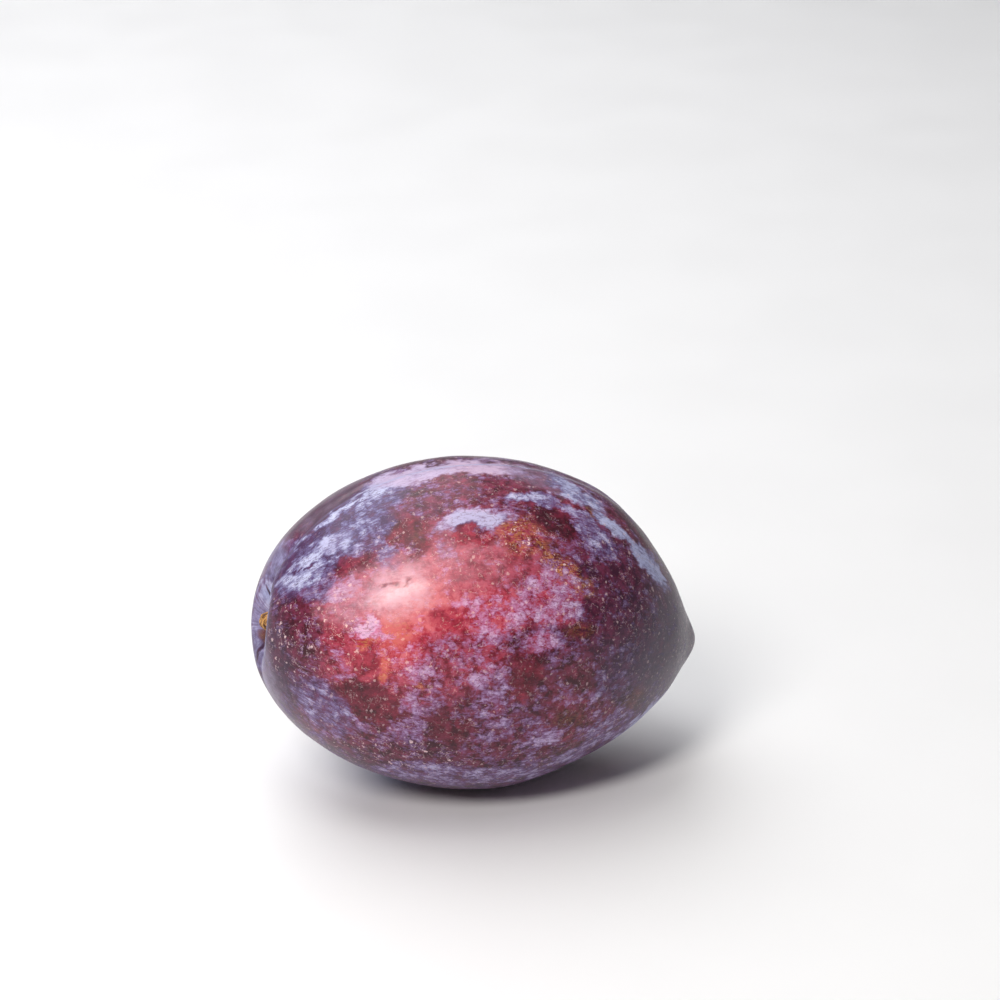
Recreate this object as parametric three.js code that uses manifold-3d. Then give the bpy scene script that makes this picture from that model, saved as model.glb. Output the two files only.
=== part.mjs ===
// An oval prune plum lying on its side, in millimetres, with +Z up.
// The long axis runs along X: stem cavity at -X, blunt blossom tip at +X.
// The origin is the middle of the small flat spot that the fruit rests on.
// In the fruit's own frame, u runs along the axis, v across, and w towards the suture.
import * as THREE from "three";
import Module from "manifold-3d";

// Body: reaches are measured along the axis from the widest place.
const BELLY_RADIUS = 22.65;
const STEM_REACH = 28.9;
const STEM_SHAPE = 1.8;
const STEM_ROUNDNESS = 2.08;
const TIP_REACH = 34.8;
const TIP_SHAPE = 2.54;
const TIP_ROUNDING = 0.85;
// A slight neck just before the tip.
const NECK_DEPTH = 0.45;
const NECK_PLACE = 31.2;
const NECK_REACH = 2.0;
const SIDE_RATIO = 0.97;
// The back along the suture bulges more than the side opposite, and the tip hangs a little.
const SUTURE_BULGE = 0.036;
const TIP_DROOP = 1.2;
const TIP_DROOP_REACH = 6.5;

// Broad uneven places of the flesh: place along u, turn from the suture, and height.
const UNEVEN_PLACES = [
  { along: 21, turn: 20, reach: 6, height: 0.9 },
  { along: 15.5, turn: 200, reach: 7.5, height: -0.95 },
];
const UNEVEN_SPREAD = 0.8;

// Stem cavity: an oval hollow, longer along the suture than across it.
const CAVITY_DEPTH = 3.0;
const CAVITY_ACROSS = 3.2;
const CAVITY_ALONG = 4.6;
const CAVITY_MIDDLE = 0.4;
const CAVITY_STEEPNESS = 1.4;
// The corky scar left by the stalk stands up from the floor, with a pit in its middle.
const SCAR_RADIUS = 1.6;
const SCAR_HEIGHT = 2.2;
const SCAR_MIDDLE = 0.65;
const PIT_RADIUS = 0.5;
const PIT_DEPTH = 0.4;

// Suture: a shallow seam from the cavity to the tip, deepest beside the cavity.
const SEAM_WIDTH = 1.5;
const SEAM_DEPTH = 0.2;
const SEAM_STEM_DEPTH = 0.8;
const SEAM_TIP_DEPTH = 0.15;
const SEAM_HOLLOW_WIDTH = 5.0;
const SEAM_HOLLOW_DEPTH = 0.15;
const SEAM_STEM_REACH = 5.0;
// The seam ends this far from the scar.
const SEAM_END_REACH = 2.8;
// A short fold leaves the cavity on the side opposite the suture.
const FOLD_DEPTH = 0.9;
const FOLD_WIDTH = 0.9;
const FOLD_MIDDLE = -5.2;
const FOLD_REACH = 2.8;

// Pose at rest: the tip is lower than the stem end, the suture leans back from the top.
const PITCH = THREE.MathUtils.degToRad(7.2);
const SUTURE_LEAN = THREE.MathUtils.degToRad(6);
// Place of the widest section's middle, in the frame of the flat spot.
const AXIS_PLACE = new THREE.Vector3(-2.4, 0.05, 21.7);

// Mesh: rings crowd towards the stem cavity and meridians towards the suture.
const MERIDIANS = 60;
const RINGS = 70;
const RING_CROWDING = 0.3;
const MERIDIAN_CROWDING = 0.55;

function bell(distance, width) {
  return Math.exp(-((distance / width) ** 2));
}

// Radius of the plain body of revolution at u, before any hollow or bulge.
function bodyRadius(u) {
  if (u < 0) {
    const fullness = Math.max(1 - (-u / STEM_REACH) ** STEM_SHAPE, 0);
    return BELLY_RADIUS * fullness ** (1 / STEM_ROUNDNESS);
  }
  const taper = 1 - (u / TIP_REACH) ** TIP_SHAPE;
  const toApex = Math.max(TIP_REACH - u, TIP_ROUNDING);
  const tip = BELLY_RADIUS * taper * Math.sqrt(Math.max(1 - (TIP_ROUNDING / toApex) ** 2, 0));
  const neck = NECK_DEPTH * bell(u - NECK_PLACE, NECK_REACH);
  return tip - neck * THREE.MathUtils.smoothstep(tip, 0, 3);
}

// Broad swellings and flat places, faded out towards both ends.
function unevenness(u, turn, radius) {
  let height = 0;
  for (const place of UNEVEN_PLACES) {
    const away = turn - THREE.MathUtils.degToRad(place.turn);
    const wrapped = Math.atan2(Math.sin(away), Math.cos(away));
    height += place.height * bell(u - place.along, place.reach) * bell(wrapped, UNEVEN_SPREAD);
  }
  return height * Math.min(radius / 6, 1);
}

// Depth of the stem cavity, less the scar that stands in it.
function cavityDepth(v, w) {
  const off = Math.hypot(v / CAVITY_ACROSS, (w - CAVITY_MIDDLE) / CAVITY_ALONG);
  const hollow = CAVITY_DEPTH * Math.exp(-(off ** (2 * CAVITY_STEEPNESS)));
  const fromScar = Math.hypot(v, w - SCAR_MIDDLE);
  const scar = SCAR_HEIGHT * Math.exp(-((fromScar / SCAR_RADIUS) ** 4));
  return hollow - scar + PIT_DEPTH * bell(fromScar, PIT_RADIUS);
}

// Depth of the suture, measured from the half line that runs from the axis towards +w.
function seamDepth(u, v, w) {
  const off = w > 0 ? Math.abs(v) : Math.hypot(v, w);
  const nearStem = bell(Math.max(u + 27.5, 0), SEAM_STEM_REACH);
  const nearTip = bell(u - 31, 4);
  const deepest = SEAM_DEPTH + SEAM_STEM_DEPTH * nearStem + SEAM_TIP_DEPTH * nearTip;
  const depth = deepest * bell(off, SEAM_WIDTH) + SEAM_HOLLOW_DEPTH * bell(off, SEAM_HOLLOW_WIDTH);
  const left = u < 0 ? 1 - bell(Math.hypot(v, w - SCAR_MIDDLE), SEAM_END_REACH) : 1;
  return depth * left;
}

// Depth of the fold that runs out of the cavity away from the suture.
function foldDepth(v, w) {
  return FOLD_DEPTH * bell(v, FOLD_WIDTH) * bell(w - FOLD_MIDDLE, FOLD_REACH);
}

// A point of the skin for a place u on the axis and a turn about it from the suture.
function skinPoint(u, turn) {
  const radius = bodyRadius(u);
  const v = radius * Math.sin(turn);
  const w = radius * Math.cos(turn);
  const step = 0.02;
  const before = Math.max(u - step, -STEM_REACH);
  const after = Math.min(u + step, TIP_REACH - TIP_ROUNDING);
  const rise = bodyRadius(after) - bodyRadius(before);
  const outward = new THREE.Vector2(-rise, after - before).normalize();
  let height = -seamDepth(u, v, w);
  if (u < 0) {
    height -= cavityDepth(v, w) + foldDepth(v, w);
  }
  const swelling = unevenness(u, turn, radius);
  const reach = radius + height * outward.y + swelling;
  const droop = TIP_DROOP * bell(TIP_REACH - u, TIP_DROOP_REACH);
  return new THREE.Vector3(
    u + height * outward.x,
    reach * Math.sin(turn) * SIDE_RATIO,
    reach * (Math.cos(turn) + SUTURE_BULGE) - droop,
  );
}

// The skin as a closed sphere mesh whose vertices are moved onto the fruit's surface.
function skinGeometry() {
  const geometry = new THREE.SphereGeometry(1, MERIDIANS, RINGS);
  const position = geometry.getAttribute("position");
  const middle = (TIP_REACH - TIP_ROUNDING - STEM_REACH) / 2;
  const half = (TIP_REACH - TIP_ROUNDING + STEM_REACH) / 2;
  for (let i = 0; i < position.count; i += 1) {
    const even = Math.acos(THREE.MathUtils.clamp(position.getY(i), -1, 1));
    const polar = even - RING_CROWDING * Math.sin(even);
    const onPole = Math.hypot(position.getX(i), position.getZ(i)) < 1e-6;
    const around = onPole ? 0 : Math.atan2(-position.getZ(i), position.getX(i));
    const turn = around - MERIDIAN_CROWDING * Math.sin(around);
    const point = skinPoint(middle - half * Math.cos(polar), turn);
    position.setXYZ(i, point.x, point.y, point.z);
  }
  geometry.applyMatrix4(new THREE.Matrix4().makeRotationX(-SUTURE_LEAN));
  geometry.applyMatrix4(new THREE.Matrix4().makeRotationY(PITCH));
  geometry.translate(AXIS_PLACE.x, AXIS_PLACE.y, AXIS_PLACE.z);
  return geometry;
}

// Closed solid of a geometry, with the vertices of its seam and poles merged.
function solidOf(kernel, geometry) {
  const position = geometry.getAttribute("position");
  const index = geometry.getIndex();
  const numbers = new Map();
  const places = [];
  const mergedAs = [];
  for (let i = 0; i < position.count; i += 1) {
    const place = [position.getX(i), position.getY(i), position.getZ(i)];
    const key = place.map((value) => Math.round(value * 1e4)).join(",");
    if (!numbers.has(key)) {
      numbers.set(key, places.length / 3);
      places.push(...place);
    }
    mergedAs.push(numbers.get(key));
  }
  const corners = [];
  for (let i = 0; i < index.count; i += 3) {
    const [a, b, c] = [0, 1, 2].map((k) => mergedAs[index.getX(i + k)]);
    if (a !== b && b !== c && c !== a) {
      corners.push(a, b, c);
    }
  }
  return new kernel.Manifold(new kernel.Mesh({
    numProp: 3,
    vertProperties: new Float32Array(places),
    triVerts: new Uint32Array(corners),
  }));
}

function geometryOf(solid) {
  const mesh = solid.getMesh();
  const geometry = new THREE.BufferGeometry();
  geometry.setAttribute("position", new THREE.BufferAttribute(mesh.vertProperties, 3));
  geometry.setIndex(new THREE.BufferAttribute(mesh.triVerts, 1));
  geometry.computeVertexNormals();
  return geometry;
}

const kernel = await Module();
kernel.setup();

// The flat spot is where the plane z = 0 takes the lowest sliver off the skin.
const whole = solidOf(kernel, skinGeometry());
const fruit = whole.trimByPlane([0, 0, 1], 0);

const skin = new THREE.MeshStandardMaterial({ color: 0x7a4a63, roughness: 0.42, metalness: 0 });
skin.name = "skin";

const plum = new THREE.Mesh(geometryOf(fruit), skin);
plum.name = "plum";

const model = new THREE.Group();
model.name = "plum_fruit";
model.add(plum);

export default model;
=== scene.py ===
import math

import bpy
import numpy as np
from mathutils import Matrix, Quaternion, Vector


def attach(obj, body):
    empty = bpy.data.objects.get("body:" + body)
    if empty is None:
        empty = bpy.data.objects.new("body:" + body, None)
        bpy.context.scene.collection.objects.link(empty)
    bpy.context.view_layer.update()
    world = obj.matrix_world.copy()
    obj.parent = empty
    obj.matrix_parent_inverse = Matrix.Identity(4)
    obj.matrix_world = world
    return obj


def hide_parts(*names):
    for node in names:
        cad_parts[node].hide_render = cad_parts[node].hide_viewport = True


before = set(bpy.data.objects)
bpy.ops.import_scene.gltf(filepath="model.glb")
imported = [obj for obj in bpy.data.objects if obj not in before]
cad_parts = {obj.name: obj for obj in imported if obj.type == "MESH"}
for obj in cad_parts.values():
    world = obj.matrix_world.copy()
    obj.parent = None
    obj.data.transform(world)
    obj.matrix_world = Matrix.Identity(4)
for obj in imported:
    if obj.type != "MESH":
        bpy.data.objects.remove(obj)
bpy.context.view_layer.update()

MM = 0.001

# Form of the fruit, in millimetres. u runs along the axis, v across, w towards the suture.
BELLY_RADIUS = 22.65
STEM_REACH = 28.9
STEM_SHAPE = 1.8
STEM_ROUNDNESS = 2.08
TIP_REACH = 34.8
TIP_SHAPE = 2.54
TIP_ROUNDING = 0.85
NECK_DEPTH = 0.45
NECK_PLACE = 31.2
NECK_REACH = 2.0
NECK_FADE_RADIUS = 3
SIDE_RATIO = 0.97
SUTURE_BULGE = 0.036
TIP_DROOP = 1.2
TIP_DROOP_REACH = 6.5
# Broad uneven places: along u, turn from the suture in degrees, reach, height.
UNEVEN_PLACES = [(21, 20, 6, 0.9), (15.5, 200, 7.5, -0.95)]
UNEVEN_SPREAD = 0.8
UNEVEN_FADE_RADIUS = 6
CAVITY_DEPTH = 3.0
CAVITY_ACROSS = 3.2
CAVITY_ALONG = 4.6
CAVITY_MIDDLE = 0.4
CAVITY_STEEPNESS = 1.4
SCAR_RADIUS = 1.6
SCAR_HEIGHT = 2.2
SCAR_MIDDLE = 0.65
PIT_RADIUS = 0.5
PIT_DEPTH = 0.4
SEAM_WIDTH = 1.5
SEAM_DEPTH = 0.2
SEAM_STEM_DEPTH = 0.8
SEAM_TIP_DEPTH = 0.15
SEAM_HOLLOW_WIDTH = 5.0
SEAM_HOLLOW_DEPTH = 0.15
SEAM_STEM_PLACE = -27.5
SEAM_STEM_REACH = 5.0
SEAM_TIP_PLACE = 31
SEAM_TIP_REACH = 4
SEAM_END_REACH = 2.8
FOLD_DEPTH = 0.9
FOLD_WIDTH = 0.9
FOLD_MIDDLE = -5.2
FOLD_REACH = 2.8
PITCH = math.radians(7.2)
SUTURE_LEAN = math.radians(6)
AXIS_PLACE = (-2.4, 0.05, 21.7)
# Step along the axis over which the slope of the skin is measured.
SLOPE_STEP = 0.02
# The stem cavity is below the first of these places along the axis, the blossom's dot above the second.
STEM_SIDE = -20
TIP_SIDE = 30
# Height of the fruit's middle above the floor.
MIDDLE_HEIGHT = 22

# Mesh: rings crowd towards the stem cavity and meridians towards the suture.
MERIDIANS = 400
RINGS = 238
RING_CROWDING = 0.2
MERIDIAN_CROWDING = 0.25

# The photograph's line of sight to the plum in degrees and millimetres, and the lens of its camera.
SIGHT_AZIMUTH = -14.35
SIGHT_ELEVATION = 24.0
SIGHT_DISTANCE = 460.0
LENS = 122.0
# Where the plum's middle and the picture's own middle are in the photograph, in pixels.
PLUM_PIXEL = (461.0, 627.7)
CENTRE_PIXEL = (500.0, 500.0)
PIXELS_PER_MM = 7.37


def bell(distance, width):
    return np.exp(-((distance / width) ** 2))


def smooth_step(low, high, value):
    t = np.clip((value - low) / (high - low), 0, 1)
    return t * t * (3 - 2 * t)


def lattice_noise(points, size, seed):
    """Smooth gradient noise from about -1 to 1, with features of the given size."""
    q = points / size
    cell = np.floor(q).astype(np.int64)
    part = q - cell
    ease = part * part * part * (part * (part * 6 - 15) + 10)
    total = np.zeros(len(points))
    for corner in np.ndindex(2, 2, 2):
        # Each corner of a cell has a slope of its own, which a hash of its place and the seed picks.
        at = cell + corner
        key = at[:, 0] * 73856093 ^ at[:, 1] * 19349663 ^ at[:, 2] * 83492791 ^ seed * 2654435761
        key = (key ^ (key >> 13)) * 1274126177 & 0x7FFFFFFF
        key = (key ^ (key >> 15)) * 668265263 & 0x7FFFFFFF
        turn = (key % 4096) / 4096 * 2 * np.pi
        height = ((key >> 12) % 4096) / 2048 - 1
        flat = np.sqrt(1 - height**2)
        slope = np.stack([np.cos(turn) * flat, np.sin(turn) * flat, height], 1)
        away = part - corner
        weight = np.prod(np.where(np.array(corner) == 1, ease, 1 - ease), axis=1)
        total += weight * np.sum(slope * away, axis=1)
    return total * 1.6


def layered_noise(points, size, seed, layers=4, falloff=0.55):
    total = np.zeros(len(points))
    strength = 1.0
    for layer in range(layers):
        total += strength * lattice_noise(points, size, seed + layer)
        size /= 2
        strength *= falloff
    return total


def body_radius(u):
    """Radius of the plain body of revolution at u."""
    stem_u = np.clip(-u, 0, None) / STEM_REACH
    stem = BELLY_RADIUS * np.clip(1 - stem_u**STEM_SHAPE, 0, None) ** (1 / STEM_ROUNDNESS)
    tip_u = np.clip(u, 0, None) / TIP_REACH
    to_apex = np.clip(TIP_REACH - u, TIP_ROUNDING, None)
    rounding = np.sqrt(np.clip(1 - (TIP_ROUNDING / to_apex) ** 2, 0, None))
    tip = BELLY_RADIUS * (1 - tip_u**TIP_SHAPE) * rounding
    neck = NECK_DEPTH * bell(u - NECK_PLACE, NECK_REACH) * smooth_step(0, NECK_FADE_RADIUS, tip)
    return np.where(u < 0, stem, tip - neck)


def scar_distance(v, w):
    return np.hypot(v, w - SCAR_MIDDLE)


def cavity_distance(v, w):
    """Distance from the cavity's middle, as a share of its reach across and along the suture."""
    return np.hypot(v / CAVITY_ACROSS, (w - CAVITY_MIDDLE) / CAVITY_ALONG)


def cavity_depth(v, w):
    """Depth of the stem cavity, less the scar that stands in it."""
    hollow = CAVITY_DEPTH * np.exp(-(cavity_distance(v, w) ** (2 * CAVITY_STEEPNESS)))
    away = scar_distance(v, w)
    scar = SCAR_HEIGHT * np.exp(-((away / SCAR_RADIUS) ** 4))
    return hollow - scar + PIT_DEPTH * bell(away, PIT_RADIUS)


def seam_depth(u, v, w):
    """Depth of the suture, measured from the half line that runs from the axis towards +w."""
    off = np.where(w > 0, np.abs(v), np.hypot(v, w))
    near_stem = bell(np.maximum(u - SEAM_STEM_PLACE, 0), SEAM_STEM_REACH)
    near_tip = bell(u - SEAM_TIP_PLACE, SEAM_TIP_REACH)
    deepest = SEAM_DEPTH + SEAM_STEM_DEPTH * near_stem + SEAM_TIP_DEPTH * near_tip
    depth = deepest * bell(off, SEAM_WIDTH) + SEAM_HOLLOW_DEPTH * bell(off, SEAM_HOLLOW_WIDTH)
    return np.where(u < 0, depth * (1 - bell(scar_distance(v, w), SEAM_END_REACH)), depth)


def unevenness(u, turn, radius):
    """Broad swellings and flat places, faded out towards both ends."""
    height = np.zeros_like(u)
    for along, at_turn, reach, rise in UNEVEN_PLACES:
        away = turn - math.radians(at_turn)
        wrapped = np.arctan2(np.sin(away), np.cos(away))
        height += rise * bell(u - along, reach) * bell(wrapped, UNEVEN_SPREAD)
    return height * np.minimum(radius / UNEVEN_FADE_RADIUS, 1)


def skin_points(u, turn):
    """Points of the skin in the fruit's own frame, for places along the axis and turns about it."""
    radius = body_radius(u)
    v = radius * np.sin(turn)
    w = radius * np.cos(turn)
    before = np.maximum(u - SLOPE_STEP, -STEM_REACH)
    after = np.minimum(u + SLOPE_STEP, TIP_REACH - TIP_ROUNDING)
    rise = body_radius(after) - body_radius(before)
    run = after - before
    size = np.hypot(rise, run)
    fold = FOLD_DEPTH * bell(v, FOLD_WIDTH) * bell(w - FOLD_MIDDLE, FOLD_REACH)
    height = -seam_depth(u, v, w) - np.where(u < 0, cavity_depth(v, w) + fold, 0)
    reach = radius + height * run / size + unevenness(u, turn, radius)
    droop = TIP_DROOP * bell(TIP_REACH - u, TIP_DROOP_REACH)
    along = u - height * rise / size
    across = reach * np.sin(turn) * SIDE_RATIO
    towards_suture = reach * (np.cos(turn) + SUTURE_BULGE) - droop
    return np.stack([along, across, towards_suture], -1)


def turned(a, b, angle):
    """Two coordinates, turned by an angle in their own plane."""
    c = math.cos(angle)
    s = math.sin(angle)
    return a * c + b * s, b * c - a * s


def placed(points):
    """Points of the fruit's own frame, turned and moved to where the fruit rests."""
    x, y, z = points[..., 0], points[..., 1], points[..., 2]
    y, z = turned(y, z, SUTURE_LEAN)
    x, z = turned(x, z, PITCH)
    return np.stack([x, y, z], -1) + np.array(AXIS_PLACE)


def sight_axes():
    """Right, up and back of the photograph's line of sight to the plum."""
    azimuth = math.radians(SIGHT_AZIMUTH)
    elevation = math.radians(SIGHT_ELEVATION)
    right = np.array([math.cos(azimuth), math.sin(azimuth), 0])
    back = np.array([
        math.sin(azimuth) * math.cos(elevation),
        -math.cos(azimuth) * math.cos(elevation),
        math.sin(elevation),
    ])
    return right, np.cross(back, right), back


# Patches of the shown side, in millimetres right and up of the fruit's middle as the photograph sees it.
# Each has a name, its middle, half its length and width, a tilt in degrees, how soft its edge is, and
# the levels it paints: bloom (waxy coat), the sheen coat (a smooth pale coat of painted sheen and painted
# reflections), cool (how blue a coat is), red (how bright the skin under it is, and near the key light a
# painted glow of light through the flesh), gold (russet tint), dust and shade (fine dark dust and painted
# shade) and specks (pale lenticels).
PATCHES = [
    # Painted light: the glow patches stand for the key light glowing through the flesh, and the sheen
    # patches near them for its sheen and a painted highlight.
    ("glow", (-6.5, 2.0), (13.0, 10.5), 25, 0.9, dict(cool=0.0, red=0.66, bloom=0.32, specks=0.8)),
    ("glow above", (3.0, 8.5), (8.5, 5.0), 15, 0.8, dict(red=0.52, bloom=0.2, painted_sheen=0.08)),
    ("glow core", (-5.5, 1.5), (7.0, 5.5), 20, 0.8, dict(red=0.92, bloom=0.2, specks=0.4)),
    ("painted_sheen over the glow", (-3.5, 7.0), (10.5, 4.4), 22, 0.8, dict(painted_sheen=0.25, bloom=0.14)),
    ("painted_sheen under the highlight", (-8.6, 5.0), (4.6, 3.4), 28, 0.7, dict(painted_sheen=0.86, bloom=0.1, specks=0.2)),
    ("painted_sheen left of the highlight", (-14.0, 3.6), (4.2, 3.0), 30, 0.8, dict(painted_sheen=0.5, red=0.6, cool=0.25)),
    # At the tip and on the stem end the dust and shade is partly dust and partly painted shade, darker
    # towards the ends.
    ("haze about the tip", (27.5, -2.5), (9.0, 9.5), -10, 0.7,
     dict(cool=0.8, dust_and_shade=0.85, red=0, bloom=0.26, specks=0.3)),
    ("denser haze at the tip", (28.6, -3.2), (3.2, 4.2), -35, 0.9, dict(cool=0.9, dust_and_shade=0.95, bloom=0.1)),
    ("haze on the stem end", (-25.5, -6.0), (3.6, 10.0), 5, 0.6,
     dict(cool=0.6, dust_and_shade=0.75, bloom=0.3, red=0, specks=0.1)),
    # The glassy patches on the stem side and over the cavity are painted reflections.
    ("glassy stem side", (-25.6, -7.0), (1.5, 6.0), 14, 0.8, dict(painted_sheen=0.3, cool=0.7)),
    ("glassy rim over the cavity", (-24.6, 9.6), (3.4, 1.3), 62, 0.5,
     dict(painted_sheen=0.5, cool=0.9, red=0, dust_and_shade=0.2, bloom=0.5, specks=0)),
    ("dark left side", (-21.6, -1.6), (4.2, 5.6), 0, 0.5, dict(bloom=0.18, red=0.12, specks=1.0)),
    ("dark right side", (20.2, 4.5), (7.0, 8.0), -15, 0.5,
     dict(bloom=0.22, red=0.12, specks=0.6, cool=0.5)),
    ("upper left band", (-16.7, 11.9), (12.0, 3.7), 41, 0.3, dict(cool=1.0, bloom=0.5, red=0, specks=0.1)),
    ("bare rim beside the suture", (-18.4, 16.0), (7.0, 1.5), 38, 0.3,
     dict(bloom=-0.05, red=0.0, dust_and_shade=0.66, specks=0.1, cool=0.6, painted_sheen=0.16)),
    ("line below the bare rim", (-17.6, 14.2), (5.4, 0.4), 36, 0.5, dict(cool=1.0, bloom=1.3, dust_and_shade=0)),
    ("blue-white patch", (-21.0, 7.3), (3.6, 1.9), 35, 0.4, dict(cool=1.2, bloom=1.25)),
    ("white patch", (-16.7, 11.3), (2.6, 1.1), 25, 0.5, dict(cool=0.9, bloom=1.4, painted_sheen=0.3)),
    ("white patch higher", (-11.3, 17.8), (3.2, 1.2), 35, 0.4, dict(cool=1.0, bloom=1.35)),
    ("dark spot by the cavity", (-25.0, 7.2), (1.3, 0.7), 80, 0.4, dict(bloom=0, dust_and_shade=0.5)),
    ("dark line in the band", (-20.4, 8.1), (3.6, 0.14), 20, 0.5, dict(bloom=0.2)),
    ("upper mottle", (-11.6, 13.8), (4.4, 3.0), 30, 0.4, dict(cool=1.0, bloom=0.66, red=0.06)),
    ("lilac left of the round spot", (-10.2, 10.4), (2.0, 2.6), 10, 0.4, dict(bloom=0.74, cool=0.8)),
    # The whitish band below the top, the top band and the glassy top right are painted reflections of the
    # light from above, over bloom.
    ("whitish band below the top", (-4.6, 20.7), (8.0, 1.1), 13, 0.35,
     dict(cool=0.6, bloom=1.5, painted_sheen=0.75)),
    ("mauve strip on the top edge", (-3.0, 22.6), (9.0, 0.8), 6, 0.4,
     dict(bloom=0.2, red=0.1, dust_and_shade=0.4, painted_sheen=0)),
    ("top band", (4.0, 21.2), (6.4, 1.0), -4, 0.4, dict(bloom=1.3, red=0.3, painted_sheen=0.9, cool=0.5)),
    ("glassy top right", (10.5, 19.8), (5.0, 1.8), -18, 0.6, dict(bloom=0.2, red=0.1, painted_sheen=0.25, cool=0.6)),
    ("red strip under the top band", (3.6, 18.1), (6.6, 1.8), -8, 0.3,
     dict(bloom=0.2, red=0.24, cool=0.35)),
    ("red strip further left", (-5.8, 15.9), (3.6, 1.6), 10, 0.3, dict(bloom=0.3, red=0.24, cool=0.4)),
    ("bright patch", (1.8, 14.0), (5.0, 1.35), 8, 0.3,
     dict(bloom=1.9, red=0.3, cool=0.75, specks=0.2, painted_sheen=0.4)),
    ("tail of the bright patch", (-1.9, 11.0), (2.0, 1.4), 100, 0.4, dict(bloom=0.5, cool=0.3)),
    ("round bare spot", (-6.3, 12.0), (2.9, 2.6), 10, 0.2, dict(bloom=0.0, red=0.28, cool=0, painted_sheen=0)),
    ("brown core of the round spot", (-5.4, 11.7), (1.2, 1.1), 0, 0.4,
     dict(bloom=0, gold=0.1, red=0.24, painted_sheen=0)),
    ("bare spot on the left", (-13.4, 8.8), (3.1, 1.7), 15, 0.2, dict(bloom=0.08, red=0.26)),
    ("lilac above the bare spot", (-12.0, 11.1), (2.6, 1.3), 25, 0.4, dict(bloom=1.0, cool=0.75, red=0.2)),
    ("lilac below the blue patch", (-18.2, 4.9), (3.2, 1.5), 20, 0.4, dict(bloom=0.8, cool=0.7, red=0.2)),
    ("pink lilac left of the glow", (-15.0, 4.9), (2.6, 1.4), 15, 0.4,
     dict(bloom=0.85, red=0.55, cool=0.2)),
    ("deep red spot above", (1.6, 12.0), (3.0, 1.5), 0, 0.2, dict(bloom=0, red=0.42, painted_sheen=0)),
    ("streak by the top", (9.6, 16.8), (4.0, 0.8), -6, 0.3, dict(cool=0.9, bloom=1.2)),
    ("streak going down right", (15.2, 15.4), (3.2, 0.6), -30, 0.3, dict(cool=0.8, bloom=1.1)),
    ("dark field", (12.1, 13.7), (3.7, 1.9), -24, 0.25, dict(bloom=-0.1, red=0.06, cool=0.1)),
    ("russet field", (7.8, 12.0), (3.4, 2.5), -20, 0.5,
     dict(bloom=0.16, gold=0.6, red=0.42, specks=1.2, painted_sheen=0)),
    ("ochre streaks", (13.6, 7.4), (4.4, 1.3), -42, 0.6,
     dict(gold=0.9, bloom=0.05, red=0.3, specks=1.1, painted_sheen=0)),
    ("brown spot by the streak", (17.5, 15.4), (1.2, 1.4), -30, 0.4, dict(bloom=0, gold=0.4, red=0)),
    ("upper right streak", (17.8, 12.2), (4.0, 1.6), -45, 0.3, dict(cool=0.8, bloom=0.9)),
    # The edge streaks are pale bloom with a painted rim sheen.
    ("edge streak right", (25.1, 8.2), (4.0, 0.9), -54, 0.3, dict(cool=1.2, bloom=1.5, dust_and_shade=0, painted_sheen=0.6)),
    ("edge streak higher", (21.6, 12.6), (5.0, 0.7), -38, 0.3,
     dict(cool=1.2, bloom=1.4, dust_and_shade=0, painted_sheen=0.45)),
    ("edge patch top right", (15.2, 18.0), (4.4, 1.1), -30, 0.3, dict(cool=1.1, bloom=1.3, painted_sheen=0.3)),
    ("dark line along the right edge", (24.4, 12.2), (7.0, 0.35), -48, 0.4,
     dict(bloom=0, dust_and_shade=0.7, painted_sheen=0)),
    ("mottle right of the middle", (11.8, 3.8), (4.4, 4.0), 0, 0.15, dict(bloom=0.8, red=0.5)),
    ("mottle in the middle", (3.9, 1.9), (4.4, 3.4), 0, 0.4, dict(bloom=0.6, red=0.64)),
    ("mottle under the glow", (-1.2, -4.3), (5.0, 4.4), 0, 0.4, dict(bloom=0.42, red=0.4)),
    ("mottle lower", (3.4, -3.6), (2.6, 2.0), 20, 0.4, dict(bloom=0.52, red=0.42)),
    ("red spot in the glow", (-1.9, 1.2), (2.3, 1.6), 0, 0.3, dict(bloom=0.02, red=0.6, painted_sheen=0)),
    ("pale patch low middle", (3.4, -6.6), (2.4, 1.5), 10, 0.3, dict(bloom=0.98)),
    ("lilac patch under the glow", (-5.3, -5.4), (2.2, 1.5), 20, 0.3, dict(bloom=0.75)),
    ("scuff in the highlight", (-9.2, 5.4), (1.6, 0.16), 14, 0.5, dict(dust_and_shade=1.0, painted_sheen=0.1)),
    ("second scuff in the highlight", (-7.3, 6.0), (0.7, 0.2), 40, 0.5, dict(dust_and_shade=0.9, painted_sheen=0.1)),
    ("speckled red on the left", (-15.6, 0.0), (2.6, 3.0), 0, 0.5, dict(bloom=0.18, red=0.5, specks=1.2)),
    ("pink triangle", (-11.6, -0.6), (2.0, 1.0), -8, 0.3, dict(bloom=1.4, red=1.0)),
    ("top of the triangle", (-11.8, 0.6), (0.9, 1.0), -12, 0.3, dict(bloom=1.4, red=1.0)),
    ("coral beside the triangle", (-8.6, -0.4), (2.3, 2.1), 0, 0.4, dict(bloom=0, red=1.0, gold=0.35)),
    ("red spot left of the glow", (-12.4, -4.2), (2.6, 2.4), 0, 0.35, dict(bloom=0.05, red=0.5)),
    ("orange spot under the triangle", (-12.4, -1.9), (1.4, 0.5), 0, 0.5, dict(gold=0.7, bloom=0, red=0.7)),
    ("orange spot", (-10.0, -4.4), (0.7, 1.7), 10, 0.6, dict(gold=0.6, red=1.0, bloom=0.1)),
    ("orange spot lower", (-10.1, -6.3), (0.7, 0.9), 0, 0.5, dict(gold=0.7, red=0.8, bloom=0)),
    ("ochre dot", (-5.3, -7.3), (0.6, 0.5), 0, 0.4, dict(gold=1.0, bloom=0)),
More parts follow.
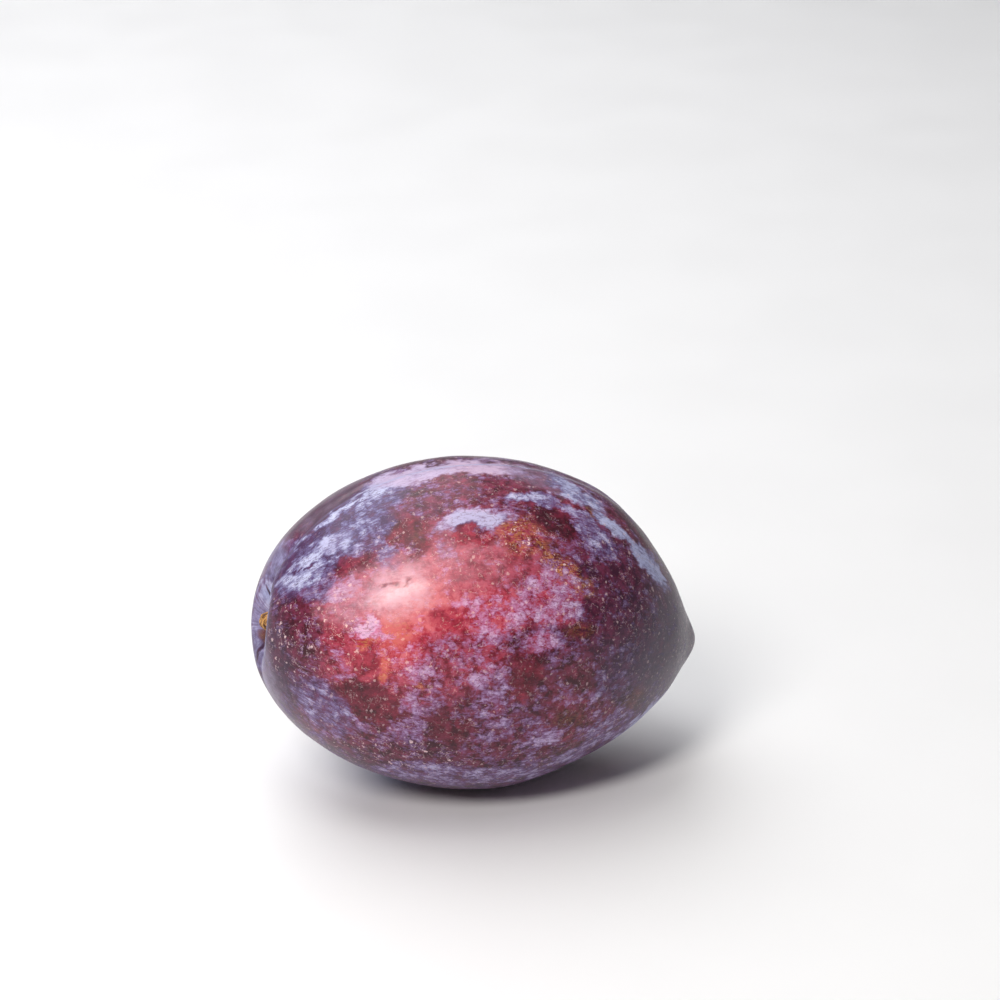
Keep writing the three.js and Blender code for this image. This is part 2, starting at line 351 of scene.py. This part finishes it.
    ("big bare patch", (-12.9, -9.4), (4.8, 2.6), -14, 0.12, dict(bloom=-0.3, red=0.2, specks=0.45)),
    ("lower left lilac", (-18.2, -10.2), (5.2, 2.7), -45, 0.25, dict(cool=0.75, bloom=0.7)),
    ("lilac below", (-14.1, -13.2), (2.5, 1.6), -20, 0.3, dict(bloom=0.58)),
    ("lilac low", (-7.6, -13.4), (2.9, 1.3), 0, 0.3, dict(bloom=0.75)),
    ("lilac beside the bare patch", (-6.7, -9.8), (1.3, 1.9), 20, 0.3, dict(bloom=0.8)),
    ("lilac middle low", (-3.6, -10.1), (2.8, 1.4), 0, 0.3, dict(bloom=0.6)),
    ("dark low middle", (-1.6, -12.8), (3.0, 2.9), 20, 0.35, dict(bloom=0.08, red=0.18)),
    ("dark red middle", (8.7, -5.0), (2.0, 2.6), 0, 0.3, dict(bloom=-0.05, red=0.22, specks=0.3)),
    ("lilac above the dark red", (10.4, -1.8), (2.4, 1.5), 0, 0.3, dict(bloom=0.9, red=0.45)),
    ("dark red lower", (7.4, -8.4), (1.6, 1.7), 0, 0.3, dict(bloom=0.05, red=0.26)),
    ("lilac right of the low middle", (4.0, -10.2), (1.7, 2.8), 0, 0.3, dict(bloom=0.85, red=0.25)),
    ("dark red right", (15.6, -0.5), (1.9, 1.2), 0, 0.3, dict(bloom=0, red=0.06, gold=0.3)),
    ("dark field right", (15.4, -6.4), (2.9, 2.4), 0, 0.35, dict(bloom=0.16, red=0.12)),
    ("brown field low right", (14.2, -12.3), (2.2, 1.6), 0, 0.3, dict(bloom=0.06, gold=0.2, red=0.08)),
    ("lilac low right", (10.4, -14.2), (2.4, 1.4), 10, 0.3, dict(bloom=0.95)),
    ("grey lilac right", (19.8, -7.4), (2.6, 1.9), 30, 0.3, dict(bloom=0.6, cool=0.6, dust_and_shade=0.4)),
    ("brown-grey rim spot", (22.5, -10.2), (2.4, 0.9), 40, 0.3, dict(bloom=0.05, dust_and_shade=0.5, gold=0.2)),
    ("grey lilac lower right", (19.5, -13.4), (4.4, 1.6), 40, 0.3, dict(cool=0.5, bloom=0.85, dust_and_shade=0.15)),
    # This edge streak is pale bloom with a painted rim sheen.
    ("edge streak lower right", (23.2, -13.4), (7.5, 0.6), 42, 0.3,
     dict(cool=0.9, bloom=1.4, dust_and_shade=0, painted_sheen=0.55)),
    ("lilac by the lower edge", (15.5, -16.9), (3.3, 1.1), 25, 0.3, dict(bloom=0.9, dust_and_shade=0.1, cool=0.5)),
    ("specks near the bottom", (-8.0, -16.5), (9.0, 2.2), -5, 0.4, dict(specks=1.1, dust_and_shade=0.2, bloom=0.3)),
    ("lilac strip at the bottom", (6.0, -19.4), (6.5, 1.3), 8, 0.3, dict(cool=0.5, bloom=0.9, dust_and_shade=0.1)),
    ("lilac strip bottom left", (-4.0, -19.2), (8.0, 1.5), -5, 0.3, dict(cool=0.5, bloom=0.85, dust_and_shade=0.1)),
]
# Patches of the stem end, in millimetres across the fruit and towards its suture.
STEM_PATCHES = [
    # On the stem end the far wall, the gloss above the scar, the bump and the smooth band below have
    # painted sheen, and the creases, the shade below the scar and the groove of the fold are painted shade.
    ("far wall", (2.6, 0.5), (1.5, 3.2), 0, 0.4, dict(bloom=0.7, cool=0.9, painted_sheen=0.35, specks=0.2, dust_and_shade=0)),
    ("gloss above the scar", (0.4, 3.9), (2.2, 1.5), 0, 0.4, dict(painted_sheen=0.8, cool=1.0, bloom=1.3, dust_and_shade=0)),
    ("crease above the scar", (1.1, 3.9), (0.2, 1.5), -22, 0.6, dict(painted_sheen=0, bloom=-1.0, dust_and_shade=0.8)),
    ("crease nearer", (-1.0, 4.3), (0.2, 1.4), 16, 0.6, dict(painted_sheen=0, bloom=-1.0, dust_and_shade=0.8)),
    ("shade below the scar", (0.6, -1.7), (1.8, 0.9), 0, 0.5,
     dict(painted_sheen=0, bloom=-1.0, dust_and_shade=0.8, cool=0, gold=0.8)),
    ("bump", (-0.4, -3.3), (1.5, 0.8), 0, 0.5, dict(painted_sheen=0.9, cool=0.8, bloom=1.0, dust_and_shade=0)),
    ("groove of the fold", (1.3, -3.8), (0.22, 1.6), 10, 0.6, dict(painted_sheen=0, bloom=-1.0, dust_and_shade=0.9)),
    ("smooth band below", (-1.7, -6.4), (1.6, 2.8), 0, 0.7, dict(painted_sheen=0.55, cool=0.8, dust_and_shade=0.2)),
]
BASE_LEVELS = dict(bloom=0.44, painted_sheen=0.0, red=0.18, gold=0.0, dust_and_shade=0.10, specks=0.45, cool=0.2)
# Patches at least this red belong to the painted glow of the key light, which only the shown side has.
GLOW_RED = 0.6


def paint(levels, patches, across, up, wobble_x, wobble_y, share=1.0):
    """Paints patches over the levels, with edges that wander by the wobble."""
    for _, middle, half, tilt, softness, targets in patches:
        dx = across + wobble_x - middle[0]
        dy = up + wobble_y - middle[1]
        along, aside = turned(dx, dy, math.radians(tilt))
        distance = np.hypot(along / half[0], aside / half[1])
        cover = share * (1 - smooth_step(1 - softness, 1 + softness * 0.6 + 0.06, distance))
        for name, target in targets.items():
            levels[name] += (target - levels[name]) * cover


def carries_on(patch):
    """Whether a patch suits the hidden side too: it leaves the painted sheen coat alone and isn't in the
    painted glow of the key light.
    """
    targets = patch[-1]
    return "painted_sheen" not in targets and targets.get("red", 0) < GLOW_RED


def skin_levels(points, normals):
    """Levels of the skin at each point, painted on the shown side and carried on round the back."""
    right, up, back = sight_axes()
    middle = np.array(AXIS_PLACE)
    across = (points - middle) @ right
    height = (points - middle) @ up
    levels = {name: np.full(len(points), float(value)) for name, value in BASE_LEVELS.items()}
    wobble_x = layered_noise(points, 3.0, seed=21, layers=5, falloff=0.7)
    wobble_y = layered_noise(points, 3.0, seed=31, layers=5, falloff=0.7)
    levels["bloom"] += 0.16 * layered_noise(points, 9.0, seed=3)
    levels["red"] += 0.12 * layered_noise(points, 12.0, seed=11)
    facing = smooth_step(-0.1, 0.1, normals @ back + 0.06 * wobble_y)
    hidden = {name: value.copy() for name, value in levels.items()}
    # Towards the outline the shown side gets painted shade, darker and bluer, and a thin pale rim of
    # painted sheen.
    edge = 1 - smooth_step(0.05, 0.55, normals @ back)
    levels["red"] *= 1 - 0.8 * edge
    levels["cool"] += 0.4 * edge
    levels["dust_and_shade"] += 0.3 * edge
    levels["painted_sheen"] += (0.4 + 0.3 * wobble_x) * (1 - smooth_step(0.03, 0.17, normals @ back))
    paint(levels, PATCHES, across, height, wobble_x * 0.7, wobble_y * 0.55)
    # The hidden side has the same kinds of patches, upside down, with more bloom and without the painted
    # glow.
    carried_on = filter(carries_on, PATCHES)
    paint(hidden, carried_on, across, -height, wobble_x * 1.4, wobble_y * 1.4)
    hidden["red"] *= 0.7
    hidden["bloom"] += 0.1
    hidden["cool"] += 0.25
    for name in levels:
        levels[name] = levels[name] * facing + hidden[name] * (1 - facing)
    return levels


def end_levels(levels, own, on_scar):
    """Adds the scar, the stem cavity, the blossom's dot and the suture's line to the levels."""
    u, v, w = own[:, 0], own[:, 1], own[:, 2]
    # The tip ends in the dry dot that the blossom left.
    on_tip = np.where(u > TIP_SIDE, 1 - smooth_step(0.4, 0.75, np.hypot(v, w + TIP_DROOP)), 0)
    levels["scar"] = np.maximum(on_scar, on_tip)
    # The cavity has a bluish wall without pale dots, and more bloom on its rim.
    far_away = 9
    from_middle = np.where(u < STEM_SIDE, cavity_distance(v, w), far_away)
    wall = 1 - smooth_step(1.15, 1.45, from_middle)
    rim = bell(from_middle - 1.42, 0.09)
    levels["bloom"] += (0.9 - levels["bloom"]) * wall + 0.9 * rim
    levels["cool"] += (0.9 - levels["cool"]) * np.maximum(wall, rim)
    levels["specks"] *= 1 - wall
    wander = 0.25 * layered_noise(own, 1.5, seed=51, layers=3)
    paint(levels, STEM_PATCHES, v, w, wander, wander, u < STEM_SIDE)
    # A pale line follows the shown side of the suture.
    beside = np.where((w > 0) & (u < 12), bell(v + 1.2, 0.35), 0)
    levels["bloom"] += 0.7 * beside
    levels["cool"] += (0.9 - levels["cool"]) * beside


def surface_grid():
    """Places along the axis and turns about it, ring by ring, with the two poles last."""
    even = np.linspace(0, np.pi, RINGS + 2)[1:-1]
    polar = even - RING_CROWDING * np.sin(even)
    tip = TIP_REACH - TIP_ROUNDING
    u = (tip - STEM_REACH) / 2 - (tip + STEM_REACH) / 2 * np.cos(polar)
    around = np.arange(MERIDIANS) * 2 * np.pi / MERIDIANS
    turn = around - MERIDIAN_CROWDING * np.sin(around)
    grid_u, grid_turn = np.meshgrid(u, turn, indexing="ij")
    flat_u = np.concatenate([grid_u.ravel(), [-STEM_REACH, tip]])
    flat_turn = np.concatenate([grid_turn.ravel(), [0.0, 0.0]])
    return flat_u, flat_turn


def fine_skin(u, turn):
    """Points of the skin with its fine relief, and the share by which each is on the scar."""
    own = skin_points(u, turn)
    # Skin isn't perfectly even: a slow wobble of about a tenth of a millimetre.
    out = own / np.linalg.norm(own, axis=1, keepdims=True)
    own = own + out * (0.10 * layered_noise(own, 11.0, seed=5, layers=3))[:, None]
    # The scar is corky: ragged fibres and a torn edge.
    away = scar_distance(own[:, 1], own[:, 2])
    on_scar = np.where(own[:, 0] < STEM_SIDE, 1 - smooth_step(1.5, 2.0, away), 0)
    own[:, 0] -= on_scar * (0.16 * layered_noise(own, 0.9, seed=41, layers=3))
    return own, on_scar


def skin_mesh(points):
    """A smooth closed mesh over the rings of points, with a fan of triangles at each pole."""
    stem_pole = RINGS * MERIDIANS
    tip_pole = stem_pole + 1
    number = np.arange(RINGS * MERIDIANS).reshape(RINGS, MERIDIANS)
    after = np.roll(number, -1, axis=1)
    quads = np.stack([number[:-1], number[1:], after[1:], after[:-1]], -1).reshape(-1, 4)
    faces = [tuple(quad) for quad in quads.tolist()]
    faces += [(stem_pole, a, b) for a, b in zip(number[0].tolist(), after[0].tolist())]
    faces += [(tip_pole, b, a) for a, b in zip(number[-1].tolist(), after[-1].tolist())]
    mesh = bpy.data.meshes.new("plum_skin")
    mesh.from_pydata((points * MM).tolist(), [], faces)
    mesh.update()
    mesh.shade_smooth()
    return mesh


def vertex_normals(mesh):
    normals = np.zeros(len(mesh.vertices) * 3)
    mesh.vertex_normals.foreach_get("vector", normals)
    return normals.reshape(-1, 3)


def build_plum():
    u, turn = surface_grid()
    own, on_scar = fine_skin(u, turn)
    points = placed(own)
    # The flat spot underneath is where the floor takes off the lowest sliver.
    points[:, 2] = np.maximum(points[:, 2], 0.0)
    mesh = skin_mesh(points)

    # The material reads the painted levels, and grown, a smooth frame along and about the fruit.
    levels = skin_levels(points, vertex_normals(mesh))
    end_levels(levels, own, on_scar)
    for name, value in levels.items():
        layer = mesh.attributes.new(name, "FLOAT", "POINT")
        layer.data.foreach_set("value", value.astype(np.float32))
    grown = np.stack([u * 1.15, BELLY_RADIUS * np.sin(turn), BELLY_RADIUS * np.cos(turn)], 1)
    layer = mesh.attributes.new("grown", "FLOAT_VECTOR", "POINT")
    layer.data.foreach_set("vector", grown.astype(np.float32).ravel())
    plum = bpy.data.objects.new("plum_skin", mesh)
    bpy.context.scene.collection.objects.link(plum)
    return plum


def srgb(red, green, blue):
    """A colour of 0 to 255 values as the linear one that shaders take."""
    def linear(value):
        value /= 255
        return value / 12.92 if value <= 0.04045 else ((value + 0.055) / 1.055) ** 2.4
    return (linear(red), linear(green), linear(blue), 1.0)


# Tones of the bare skin, from deep wine to coral; the coral end also serves the painted glow of the key
# light through the flesh.
SKIN_TONES = [
    (0.0, srgb(60, 16, 28)),
    (0.3, srgb(114, 26, 44)),
    (0.65, srgb(184, 48, 68)),
    (1.0, srgb(224, 100, 100)),
]


class Shader:
    """A material's node tree, with short calls for the nodes that are used most."""

    def __init__(self, name):
        self.material = bpy.data.materials.new(name)
        self.material.use_nodes = True
        self.tree = self.material.node_tree
        self.principled = self.tree.nodes["Principled BSDF"]

    def put(self, socket, value):
        if isinstance(value, bpy.types.NodeSocket):
            self.tree.links.new(value, socket)
        else:
            socket.default_value = value

    def node(self, kind, inputs=(), **settings):
        made = self.tree.nodes.new(kind)
        for key, value in settings.items():
            setattr(made, key, value)
        for name, value in dict(inputs).items():
            self.put(made.inputs[name], value)
        return made

    def level(self, name):
        return self.node("ShaderNodeAttribute", attribute_name=name).outputs["Fac"]

    def math(self, operation, a, b=0.0, c=0.0):
        return self.node("ShaderNodeMath", {0: a, 1: b, 2: c}, operation=operation).outputs[0]

    def times(self, a, b):
        return self.math("MULTIPLY", a, b)

    def larger(self, a, b):
        return self.math("MAXIMUM", a, b)

    def step(self, value, low, high, first=0.0, last=1.0):
        inputs = {"Value": value, "From Min": low, "From Max": high, "To Min": first, "To Max": last}
        return self.node("ShaderNodeMapRange", inputs, interpolation_type="SMOOTHSTEP").outputs["Result"]

    def noise(self, where, scale, detail=3.0, roughness=0.6, distortion=0.0):
        inputs = {"Vector": where, "Scale": scale, "Detail": detail}
        inputs.update({"Roughness": roughness, "Distortion": distortion})
        return self.node("ShaderNodeTexNoise", inputs).outputs["Fac"]

    def mix(self, share, a, b):
        made = self.node("ShaderNodeMix", data_type="RGBA", clamp_factor=True)
        self.put(made.inputs["Factor"], share)
        self.put(made.inputs[6], a)
        self.put(made.inputs[7], b)
        return made.outputs[2]

    def stretched(self, where, scale):
        return self.node("ShaderNodeMapping", {"Vector": where, "Scale": scale}).outputs["Vector"]

    def dots(self, where, scale, size, share):
        """Round dots on a share of the cells, with sizes that differ."""
        cells = self.node("ShaderNodeTexVoronoi", {"Vector": where, "Scale": scale, "Randomness": 1.0})
        chance = self.node("ShaderNodeSeparateColor", {"Color": cells.outputs["Color"]})
        reach = self.math("MULTIPLY_ADD", chance.outputs["Green"], size * 0.8, c=size * 0.4)
        dot = self.step(self.math("DIVIDE", cells.outputs["Distance"], reach), 1.0, 0.7)
        chosen = self.math("LESS_THAN", chance.outputs["Red"], share)
        return self.times(dot, chosen)

    def sway(self, value, noise, strength):
        """A value moved up and down by a noise around its middle."""
        middle = self.math("SUBTRACT", noise, 0.5)
        return self.math("MULTIPLY_ADD", middle, strength, c=value)

    def ramp(self, value, tones):
        made = self.node("ShaderNodeValToRGB", {"Fac": value})
        elements = made.color_ramp.elements
        while len(elements) < len(tones):
            elements.new(0.5)
        for element, (place, tone) in zip(elements, tones):
            element.position = place
            element.color = tone
        return made.outputs["Color"]

    def warped(self, where, scale, amount):
        """Coordinates pushed about by a noise, which makes round forms ragged."""
        push = self.node("ShaderNodeTexNoise", {"Vector": where, "Scale": scale, "Detail": 2.0})
        around_zero = {0: push.outputs["Color"], 1: (0.5, 0.5, 0.5)}
        centred = self.node("ShaderNodeVectorMath", around_zero, operation="SUBTRACT")
        moved = {0: centred.outputs[0], 1: (amount, amount, amount), 2: where}
        return self.node("ShaderNodeVectorMath", moved, operation="MULTIPLY_ADD").outputs[0]

    def flakes(self, where, scale):
        """Cells that are high in the middle and low at their edges, each with its own height."""
        cells = self.node("ShaderNodeTexVoronoi", {"Vector": where, "Scale": scale, "Randomness": 1.0})
        chance = self.node("ShaderNodeSeparateColor", {"Color": cells.outputs["Color"]}).outputs["Red"]
        height = self.math("SUBTRACT", chance, cells.outputs["Distance"])
        return self.math("MULTIPLY_ADD", height, 0.6, c=0.5)

    def hairs(self, where, scale, width, detail=1.0):
        """Thin curved lines where a noise passes its middle value."""
        off = self.math("ABSOLUTE", self.math("SUBTRACT", self.noise(where, scale, detail, 0.4), 0.5))
        return self.step(off, width, 0.0)


class SkinShader(Shader):
    """The skin's layers of colour, which share the painted levels and a few noises."""

    def __init__(self, name):
        super().__init__(name)
        self.place = self.node("ShaderNodeTexCoord").outputs["Object"]
        self.where = self.stretched(self.place, (1 / MM, 1 / MM, 1 / MM))
        self.grown = self.node("ShaderNodeAttribute", attribute_name="grown").outputs["Vector"]
        self.streaky = self.stretched(self.grown, (0.45, 1.0, 1.0))
        self.ragged = self.warped(self.where, 2.2, 0.7)
        self.bloom = self.level("bloom")
        self.cool = self.level("cool")
        self.red = self.level("red")
        self.redness = self.step(self.red, 0.1, 0.8)
        self.blotches = self.noise(self.where, 0.42, 5.0, 0.66, 0.3)
        self.streaks = self.noise(self.streaky, 0.85, 4.0, 0.66, 0.3)
        self.grain = self.noise(self.where, 2.8, 2.0, 0.7)
        self.tones = self.noise(self.where, 0.75, 4.0, 0.7, 0.3)
        self.scales = self.flakes(self.warped(self.where, 1.4, 0.6), 1.05)
        self.fibres = self.noise(self.stretched(self.grown, (0.42, 1.0, 1.0)), 2.8, 3.0, 0.7, 0.6)

    def cover(self):
        """Bloom: a painted level broken up by noise, which flakes off in small scales."""
        cover = self.sway(self.bloom, self.blotches, 2.5)
        cover = self.sway(cover, self.streaks, 1.8)
        cover = self.sway(cover, self.scales, 0.75)
        cover = self.sway(cover, self.fibres, 1.5)
        return self.sway(cover, self.grain, 0.7)

    def wear(self):
        """Small pits and thin cracks in the bloom."""
        pitted = self.warped(self.stretched(self.grown, (0.6, 1.0, 1.0)), 3.0, 0.4)
        pits = self.dots(pitted, 1.3, 0.17, 0.3)
        cracks = self.times(self.hairs(self.streaky, 1.6, 0.036, 2.0), self.step(self.tones, 0.45, 0.52))
        return self.times(self.larger(pits, cracks), 0.85)

    def opacity(self, cover, worn):
        """How much of the skin's colour the bloom hides."""
        coat = self.times(self.step(cover, 0.28, 0.76), self.math("MULTIPLY_ADD", worn, -0.5, c=1.0))
        return self.times(coat, self.step(cover, 0.4, 1.35, 0.55, 0.97))

    def bare_skin(self):
        """Dark wine to bright coral under a thin uneven veil, with russet flecks."""
        warm = self.sway(self.sway(self.red, self.tones, 1.3), self.grain, 0.3)
        skin = self.ramp(warm, SKIN_TONES)
        veil = self.step(self.sway(self.tones, self.fibres, 0.6), 0.40, 0.62, 0.01, 0.26)
        veil = self.times(veil, self.step(self.bloom, -0.05, 0.3, 0.3, 1.0))
        skin = self.mix(veil, skin, self.mix(self.redness, srgb(136, 84, 122), srgb(236, 148, 172)))
        # Between the scales of a bluish coat the skin looks violet.
        between = self.times(self.step(self.cool, 0.1, 1.0), self.step(self.bloom, 0.0, 0.5, 0.1, 0.6))
        skin = self.mix(between, skin, srgb(82, 58, 102))
        flecks = self.step(self.noise(self.streaky, 2.2, 4.0, 0.75, 1.2), 0.44, 0.60)
        russet = self.times(self.times(self.level("gold"), flecks), 0.8)
        return self.mix(russet, skin, srgb(210, 144, 80))

    def bloom_colour(self, cover, worn):
        """Lilac that is pinker over red skin, paler where it is thick and dark in pits and cracks."""
        thin_lilac = self.mix(self.redness, srgb(140, 96, 148), srgb(222, 138, 188))
        thick_lilac = self.mix(self.redness, srgb(192, 166, 212), srgb(240, 188, 222))
        warm_lilac = self.mix(self.step(cover, 0.6, 1.5), thin_lilac, thick_lilac)
        cool_lilac = self.mix(self.step(cover, 0.65, 1.8), srgb(116, 106, 156), srgb(202, 204, 236))
        lilac = self.mix(self.cool, warm_lilac, cool_lilac)
        lilac = self.mix(self.step(self.fibres, 0.52, 0.36, 0.0, 0.4), lilac, srgb(98, 66, 104))
        return self.mix(self.times(worn, 0.75), lilac, srgb(62, 44, 74))

    def with_dust_shade_and_sheen(self, colour):
        """A colour under fine dark dust and painted shade, and over that a smooth pale coat of painted
        sheen.
        """
        dust_and_shade_share = self.step(self.sway(self.fibres, self.grain, 0.5), 0.36, 0.62, 0.4, 0.8)
        dust_and_shade_tone = self.mix(self.cool, srgb(62, 40, 56), srgb(54, 42, 74))
        colour = self.mix(self.times(self.level("dust_and_shade"), dust_and_shade_share), colour, dust_and_shade_tone)
        painted_sheen = self.step(self.sway(self.blotches, self.fibres, 0.4), 0.34, 0.6, 0.55, 1.0)
        painted_sheen_tone = self.mix(self.cool, srgb(238, 184, 196), srgb(168, 172, 212))
        return self.mix(self.times(self.level("painted_sheen"), painted_sheen), colour, painted_sheen_tone)

    def pale_marks(self):
        """Pale lenticels, large and fine, and thin hairs, long and short."""
        lenticels = self.dots(self.warped(self.where, 3.2, 0.6), 1.0, 0.23, 0.6)
        fine_lenticels = self.dots(self.ragged, 2.5, 0.26, 0.75)
        here_and_there = self.step(self.noise(self.where, 1.1, 2.0), 0.52, 0.58)
        long_hairs = self.times(self.hairs(self.ragged, 0.9, 0.026), here_and_there)
        short_hairs = self.times(self.hairs(self.where, 1.9, 0.03), self.step(self.scales, 0.62, 0.75))
        pale = self.larger(lenticels, self.times(fine_lenticels, 0.22))
        pale = self.larger(pale, self.times(self.larger(long_hairs, short_hairs), 0.8))
        return self.times(pale, self.level("specks"))


def skin_material():
    s = SkinShader("plum skin")
    cover = s.cover()
    worn = s.wear()
    opacity = s.opacity(cover, worn)
    colour = s.with_dust_shade_and_sheen(s.mix(opacity, s.bare_skin(), s.bloom_colour(cover, worn)))
    pale = s.pale_marks()
    pale_tone = s.mix(s.redness, srgb(234, 202, 206), srgb(255, 206, 196))
    colour = s.mix(s.times(pale, 0.8), colour, pale_tone)

    scar = s.level("scar")
    threads = s.noise(s.stretched(s.place, (700.0, 2600.0, 900.0)), 1.6, 3.0, 0.7)
    cork = s.mix(s.step(threads, 0.38, 0.6), srgb(84, 46, 24), srgb(212, 158, 92))
    colour = s.mix(s.step(scar, 0.25, 0.6), colour, cork)

    rough = s.sway(s.step(opacity, 0.0, 0.8, 0.38, 0.6), s.grain, 0.25)
    rough = s.larger(rough, s.times(scar, 0.85))
    s.put(s.principled.inputs["Base Color"], colour)
    s.put(s.principled.inputs["Roughness"], rough)
    s.principled.inputs["IOR"].default_value = 1.33
    s.principled.inputs["Coat Weight"].default_value = 0.18
    s.principled.inputs["Coat Roughness"].default_value = 0.12

    relief = s.math("ADD", s.times(opacity, 0.5), s.times(s.grain, 0.6))
    relief = s.math("ADD", relief, s.times(pale, 0.5))
    relief = s.math("ADD", relief, s.times(s.times(threads, scar), 5.0))
    bump = s.node("ShaderNodeBump", {"Height": relief, "Strength": 0.6, "Distance": 0.06 * MM})
    s.put(s.principled.inputs["Normal"], bump.outputs["Normal"])
    return s.material


def floor_material():
    s = Shader("pale floor")
    coordinates = s.node("ShaderNodeTexCoord").outputs["Object"]
    tone = s.noise(coordinates, 3.0, 2.0, 0.5)
    s.put(s.principled.inputs["Base Color"], s.mix(tone, srgb(241, 241, 241), srgb(246, 246, 246)))
    s.put(s.principled.inputs["Roughness"], s.step(s.noise(coordinates, 40.0, 2.0), 0.3, 0.7, 0.42, 0.5))
    return s.material


def add_floor():
    half = 4.0
    corners = [(-half, -half, 0), (half, -half, 0), (half, half, 0), (-half, half, 0)]
    mesh = bpy.data.meshes.new("floor")
    mesh.from_pydata(corners, [], [(0, 1, 2, 3)])
    floor = bpy.data.objects.new("floor", mesh)
    floor.data.materials.append(floor_material())
    bpy.context.scene.collection.objects.link(floor)


def add_softbox(name, direction, distance, size, energy, colour, aim=(0, 0, MIDDLE_HEIGHT), roll=0):
    """An oval light in a direction that is given as right, up and back of the line of sight.

    Its distance and size are in metres, and the place that it is aimed at is in millimetres.
    """
    right, up, back = sight_axes()
    towards = right * direction[0] + up * direction[1] + back * direction[2]
    towards /= np.linalg.norm(towards)
    light = bpy.data.lights.new(name, "AREA")
    light.shape = "ELLIPSE"
    light.size, light.size_y = size
    light.energy = energy
    light.color = colour
    box = bpy.data.objects.new(name, light)
    middle = Vector((0, 0, MIDDLE_HEIGHT * MM))
    box.location = middle + Vector(towards) * distance
    facing = (box.location - Vector(aim) * MM).to_track_quat("Z", "Y")
    box.rotation_euler = (facing @ Quaternion((0, 0, 1), math.radians(roll))).to_euler()
    bpy.context.scene.collection.objects.link(box)


def add_lights():
    world = bpy.data.worlds.new("studio")
    world.use_nodes = True
    background = world.node_tree.nodes["Background"]
    background.inputs["Color"].default_value = (0.96, 0.97, 1.0, 1.0)
    background.inputs["Strength"].default_value = 0.12
    bpy.context.scene.world = world
    add_softbox("key", (-0.32, 0.33, 0.887), 0.6, (0.27, 0.12), 2.05, (1.0, 0.97, 0.93), roll=50)
    add_softbox("top", (-0.35, 0.93, 0.1), 0.9, (0.9, 0.9), 1.4, (0.97, 0.98, 1.0))
    add_softbox("front top", (-0.08, 0.76, 0.64), 0.9, (0.5, 0.5), 1.45, (1.0, 0.99, 0.98))
    # The backdrop light is behind the plum and aimed at the floor beyond it, which it keeps white.
    behind = (60, 380, 0)
    add_softbox("backdrop", (-0.27, 0.89, -0.36), 0.54, (1.0, 0.45), 2.1, (0.98, 0.98, 1.0), aim=behind)
    add_softbox("left", (-0.95, 0.1, -0.3), 1.0, (0.6, 0.6), 0.25, (0.95, 0.97, 1.0))


def add_camera():
    right, up, back = sight_axes()
    middle = np.array(AXIS_PLACE)
    at = middle + back * SIGHT_DISTANCE
    # The camera looks past the plum's middle, so that the plum is where the photograph has it.
    past_right = (CENTRE_PIXEL[0] - PLUM_PIXEL[0]) / PIXELS_PER_MM
    past_up = (PLUM_PIXEL[1] - CENTRE_PIXEL[1]) / PIXELS_PER_MM
    aim = middle + right * past_right + up * past_up
    data = bpy.data.cameras.new("camera")
    data.lens = LENS
    data.sensor_width = 36.0
    data.clip_start = 0.01
    camera = bpy.data.objects.new("camera", data)
    camera.location = Vector(at) * MM
    camera.rotation_euler = Vector(at - aim).to_track_quat("Z", "Y").to_euler()
    bpy.context.scene.collection.objects.link(camera)
    bpy.context.scene.camera = camera


plum = build_plum()
plum.data.materials.append(skin_material())
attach(plum, "root")
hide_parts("plum")
add_floor()
add_lights()
add_camera()
bpy.context.scene.view_settings.view_transform = "Standard"
